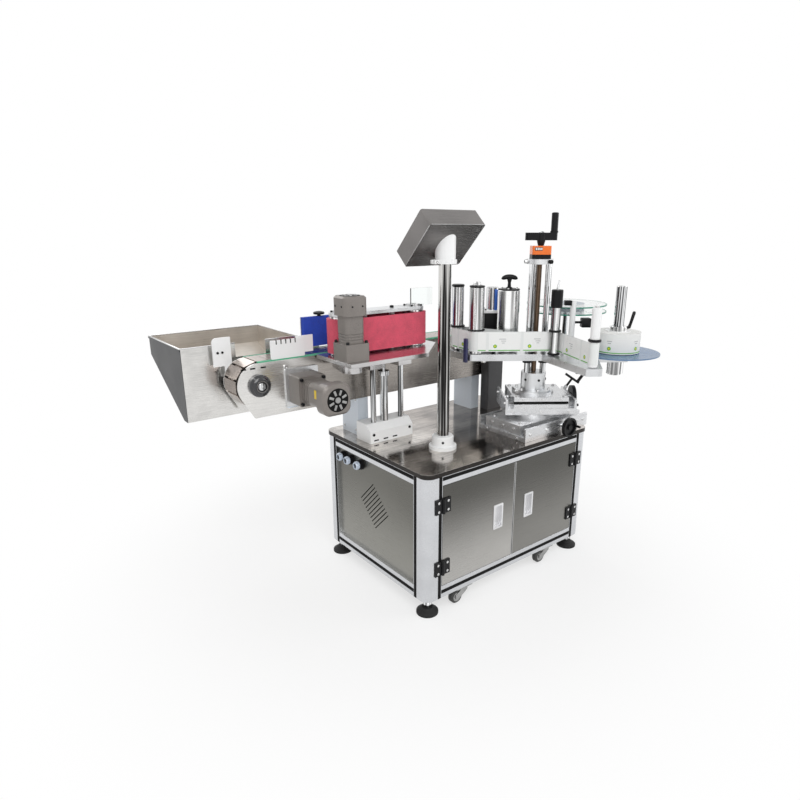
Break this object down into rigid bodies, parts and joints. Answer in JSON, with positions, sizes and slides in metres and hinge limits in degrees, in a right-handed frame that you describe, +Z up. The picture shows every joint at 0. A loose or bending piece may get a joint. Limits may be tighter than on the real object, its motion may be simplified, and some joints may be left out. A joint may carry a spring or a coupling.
{
  "type": "bottle labelling machine",
  "caption": "Cabinet-mounted bottle labelling machine: flat-top chain conveyor, wrap belt and backing pad, label head on cross slides with lift screw, operator panel and collecting bin.",
  "frame": {"origin": "bottom centre of the machine's bounding box, on the floor", "axes": "+X along the conveyor towards the infeed end, +Y from the cabinet doors to the rear, +Z up"},
  "size_m": [1.3796, 1.0312, 1.1754],
  "materials": {
    "profile": "satin anodised profile",
    "stainless": "brushed stainless sheet",
    "table": "polished stainless sheet",
    "panel": "light grey powder coat",
    "foot": "black rubber base, plated stem",
    "black_hardware": "black zinc",
    "fitting": "white pull, black hinge leaves",
    "caster": "zinc plate",
    "wheel": "dark tread",
    "tube": "brushed stainless tube",
    "white_plastic": "white moulding",
    "housing": "dark brushed steel, glass screen",
    "wear_strip": "green wear plastic",
    "chain": "stainless plates",
    "bearing": "pale cast housing",
    "bracket": "light blue grey",
    "motor": "grey die casting",
    "belt": "black belt",
    "guide": "pale sheet",
    "press_block": "pale machined block",
    "machined": "clear anodised",
    "chrome": "hard chrome",
    "red_belt": "red foam belt",
    "blue_pad": "blue foam on a plate",
    "acrylic": "clear acrylic",
    "sprocket": "dark nylon on a steel shaft",
    "counter": "orange case on a black base",
    "crank": "black crank on a trapezoid screw",
    "web": "label strip",
    "roll": "wound label strip",
    "disc": "grey blue disc",
    "roller_rubber": "black rubber cover",
    "box": "dark grey case"
  },
  "bodies": {
    "frame": {"frame_extrusions": "profile", "table_top": "table", "cover_panels": "panel", "levelling_feet": "foot", "hinge_leaves": "black_hardware", "caster_forks": "caster", "hmi_column": "tube", "conveyor_frame": "stainless", "wear_strips": "wear_strip", "conveyor_chain": "chain", "shaft_bearings": "bearing", "conveyor_brackets": "bracket", "conveyor_gearmotor": "motor", "conveyor_drive_belt": "belt", "guide_plates": "guide", "collecting_bin": "stainless", "press_stand": "press_block", "lower_slide_base": "machined", "driver_box": "box"},
    "left_door": {"door_left": "stainless", "door_fittings_left": "fitting"},
    "right_door": {"door_right": "stainless", "door_fittings_right": "fitting"},
    "wheel_1": {"caster_wheel_1": "wheel"},
    "wheel_2": {"caster_wheel_2": "wheel"},
    "wheel_3": {"caster_wheel_3": "wheel"},
    "wheel_4": {"caster_wheel_4": "wheel"},
    "operator_panel": {"hmi_clamp": "white_plastic", "hmi_housing": "housing"},
    "drive_shaft": {"drive_sprocket": "sprocket"},
    "tail_shaft": {"tail_sprocket": "sprocket"},
    "motor_shaft": {"motor_pulley": "machined"},
    "backing": {"backing_pad": "blue_pad"},
    "press_unit": {"press_plate": "machined", "press_bridge": "machined", "press_belt": "red_belt", "press_gearmotor": "motor", "press_guard": "acrylic"},
    "press_drum": {"press_drive_roller": "machined"},
    "press_tail_drum": {"press_tail_roller": "machined"},
    "lower_slide": {"lower_carriage": "machined"},
    "lower_screw": {"lower_handwheel": "crank"},
    "swivel": {"upper_slide_base": "machined"},
    "upper_screw": {"upper_handwheel": "crank"},
    "swivel_lock": {"clamp_crank": "crank"},
    "upper_slide": {"upper_carriage": "machined", "pillar": "chrome", "position_counter": "counter"},
    "lift_screw": {"lift_crank": "crank"},
    "label_head": {"head_plate": "machined", "head_motors": "motor", "label_web": "web"},
    "supply": {"supply_spool": "disc", "label_roll": "roll"},
    "waste_reel": {"rewinder": "acrylic"},
    "feed": {"feed_roller": "roller_rubber"},
    "corner": {"corner_roller": "machined"},
    "guide": {"guide_roller": "machined"},
    "slim": {"slim_roller": "machined"},
    "turn": {"turn_roller": "machined"}
  },
  "joints": [
    {"name": "left_door_hinge", "type": "hinge", "parent": "frame", "child": "left_door", "pos_m": [-0.16107, -0.32141, 0.2565], "axis": [0, 0, 1], "range_deg": [-110, 0]},
    {"name": "right_door_hinge", "type": "hinge", "parent": "frame", "child": "right_door", "pos_m": [0.44743, -0.32141, 0.2565], "axis": [0, 0, 1], "range_deg": [0, 110]},
    {"name": "wheel_1_spin", "type": "hinge", "parent": "frame", "child": "wheel_1", "pos_m": [-0.09182, -0.30191, 0.0245], "axis": [0, 1, 0], "continuous": true},
    {"name": "wheel_2_spin", "type": "hinge", "parent": "frame", "child": "wheel_2", "pos_m": [0.30118, -0.30191, 0.0245], "axis": [0, 1, 0], "continuous": true},
    {"name": "wheel_3_spin", "type": "hinge", "parent": "frame", "child": "wheel_3", "pos_m": [-0.09182, 0.21309, 0.0245], "axis": [0, 1, 0], "continuous": true},
    {"name": "wheel_4_spin", "type": "hinge", "parent": "frame", "child": "wheel_4", "pos_m": [0.30118, 0.21309, 0.0245], "axis": [0, 1, 0], "continuous": true},
    {"name": "panel_swivel", "type": "hinge", "parent": "frame", "child": "operator_panel", "pos_m": [-0.02882, -0.16141, 1.028], "axis": [0, 0, 1], "range_deg": [-90, 90]},
    {"name": "drive_shaft_spin", "type": "hinge", "parent": "frame", "child": "drive_shaft", "pos_m": [-0.51282, 0.14559, 0.69035], "axis": [0, 1, 0], "continuous": true},
    {"name": "tail_shaft_spin", "type": "hinge", "parent": "frame", "child": "tail_shaft", "pos_m": [0.43968, 0.14559, 0.69035], "axis": [0, 1, 0], "continuous": true},
    {"name": "motor_shaft_spin", "type": "hinge", "parent": "frame", "child": "motor_shaft", "pos_m": [-0.37682, 0.09959, 0.668], "axis": [0, 1, 0], "continuous": true},
    {"name": "backing_slide", "type": "slide", "parent": "frame", "child": "backing", "axis": [0, 1, 0], "range_m": [-0.05, 0.015]},
    {"name": "press_lift", "type": "slide", "parent": "frame", "child": "press_unit", "axis": [0, 0, 1], "range_m": [0, 0.025]},
    {"name": "press_drum_spin", "type": "hinge", "parent": "press_unit", "child": "press_drum", "pos_m": [-0.26182, 0.04359, 0.762], "axis": [0, 0, 1], "continuous": true},
    {"name": "press_tail_drum_spin", "type": "hinge", "parent": "press_unit", "child": "press_tail_drum", "pos_m": [0.01318, 0.04359, 0.762], "axis": [0, 0, 1], "continuous": true},
    {"name": "lower_slide_travel", "type": "slide", "parent": "frame", "child": "lower_slide", "axis": [0, 1, 0], "range_m": [-0.018, 0.015]},
    {"name": "lower_screw_turn", "type": "hinge", "parent": "frame", "child": "lower_screw", "pos_m": [0.38818, -0.33441, 0.488], "axis": [0, 1, 0], "range_deg": [-1301, 1085]},
    {"name": "head_swivel", "type": "hinge", "parent": "lower_slide", "child": "swivel", "pos_m": [0.37118, -0.17441, 0.512], "axis": [0, 0, 1], "range_deg": [-6, 12]},
    {"name": "swivel_lock_turn", "type": "hinge", "parent": "swivel", "child": "swivel_lock", "pos_m": [0.51231, -0.20313, 0.578], "axis": [0.4466, -0.3365, 0.829], "range_deg": [-180, 180]},
    {"name": "upper_slide_travel", "type": "slide", "parent": "swivel", "child": "upper_slide", "axis": [0.7986, -0.6018, 0], "range_m": [-0.015, 0.018]},
    {"name": "upper_screw_turn", "type": "hinge", "parent": "swivel", "child": "upper_screw", "pos_m": [0.48778, -0.26227, 0.566], "axis": [0.7986, -0.6018, 0], "range_deg": [-1085, 1301]},
    {"name": "head_lift", "type": "slide", "parent": "upper_slide", "child": "label_head", "axis": [0, 0, 1], "range_m": [-0.02, 0.15]},
    {"name": "lift_screw_turn", "type": "hinge", "parent": "upper_slide", "child": "lift_screw", "pos_m": [0.37118, -0.17441, 1.073], "axis": [0, 0, 1], "range_deg": [-725, 5405]},
    {"name": "feed_spin", "type": "hinge", "parent": "label_head", "child": "feed", "pos_m": [0.29371, -0.11603, 0.729], "axis": [0, 0, 1], "continuous": true},
    {"name": "corner_spin", "type": "hinge", "parent": "label_head", "child": "corner", "pos_m": [0.18601, 0.01521, 0.729], "axis": [0, 0, 1], "continuous": true},
    {"name": "guide_spin", "type": "hinge", "parent": "label_head", "child": "guide", "pos_m": [0.17978, -0.08277, 0.729], "axis": [0, 0, 1], "continuous": true},
    {"name": "slim_spin", "type": "hinge", "parent": "label_head", "child": "slim", "pos_m": [0.35757, -0.26558, 0.729], "axis": [0, 0, 1], "continuous": true},
    {"name": "turn_spin", "type": "hinge", "parent": "label_head", "child": "turn", "pos_m": [0.30053, -0.45925, 0.729], "axis": [0, 0, 1], "continuous": true},
    {"name": "supply_spin", "type": "hinge", "parent": "label_head", "child": "supply", "pos_m": [0.54112, -0.37759, 0.731], "axis": [0, 0, 1], "continuous": true},
    {"name": "waste_reel_spin", "type": "hinge", "parent": "label_head", "child": "waste_reel", "pos_m": [0.55182, -0.15402, 0.846], "axis": [0, 0, 1], "continuous": true}
  ],
  "couplings": [
    {"joint": "tail_shaft_spin", "follows": "drive_shaft_spin", "ratio": 1},
    {"joint": "motor_shaft_spin", "follows": "drive_shaft_spin", "ratio": 1},
    {"joint": "press_tail_drum_spin", "follows": "press_drum_spin", "ratio": 1},
    {"joint": "lower_screw_turn", "follows": "lower_slide_travel", "rad_per_m": 1256.6},
    {"joint": "upper_screw_turn", "follows": "upper_slide_travel", "rad_per_m": 1256.6},
    {"joint": "lift_screw_turn", "follows": "head_lift", "rad_per_m": 628.32},
    {"joint": "corner_spin", "follows": "feed_spin", "ratio": -1.8213},
    {"joint": "guide_spin", "follows": "feed_spin", "ratio": -1.5263},
    {"joint": "slim_spin", "follows": "feed_spin", "ratio": 2.4013},
    {"joint": "turn_spin", "follows": "feed_spin", "ratio": -2.5646},
    {"joint": "supply_spin", "follows": "feed_spin", "ratio": 0.51153}
  ]
}
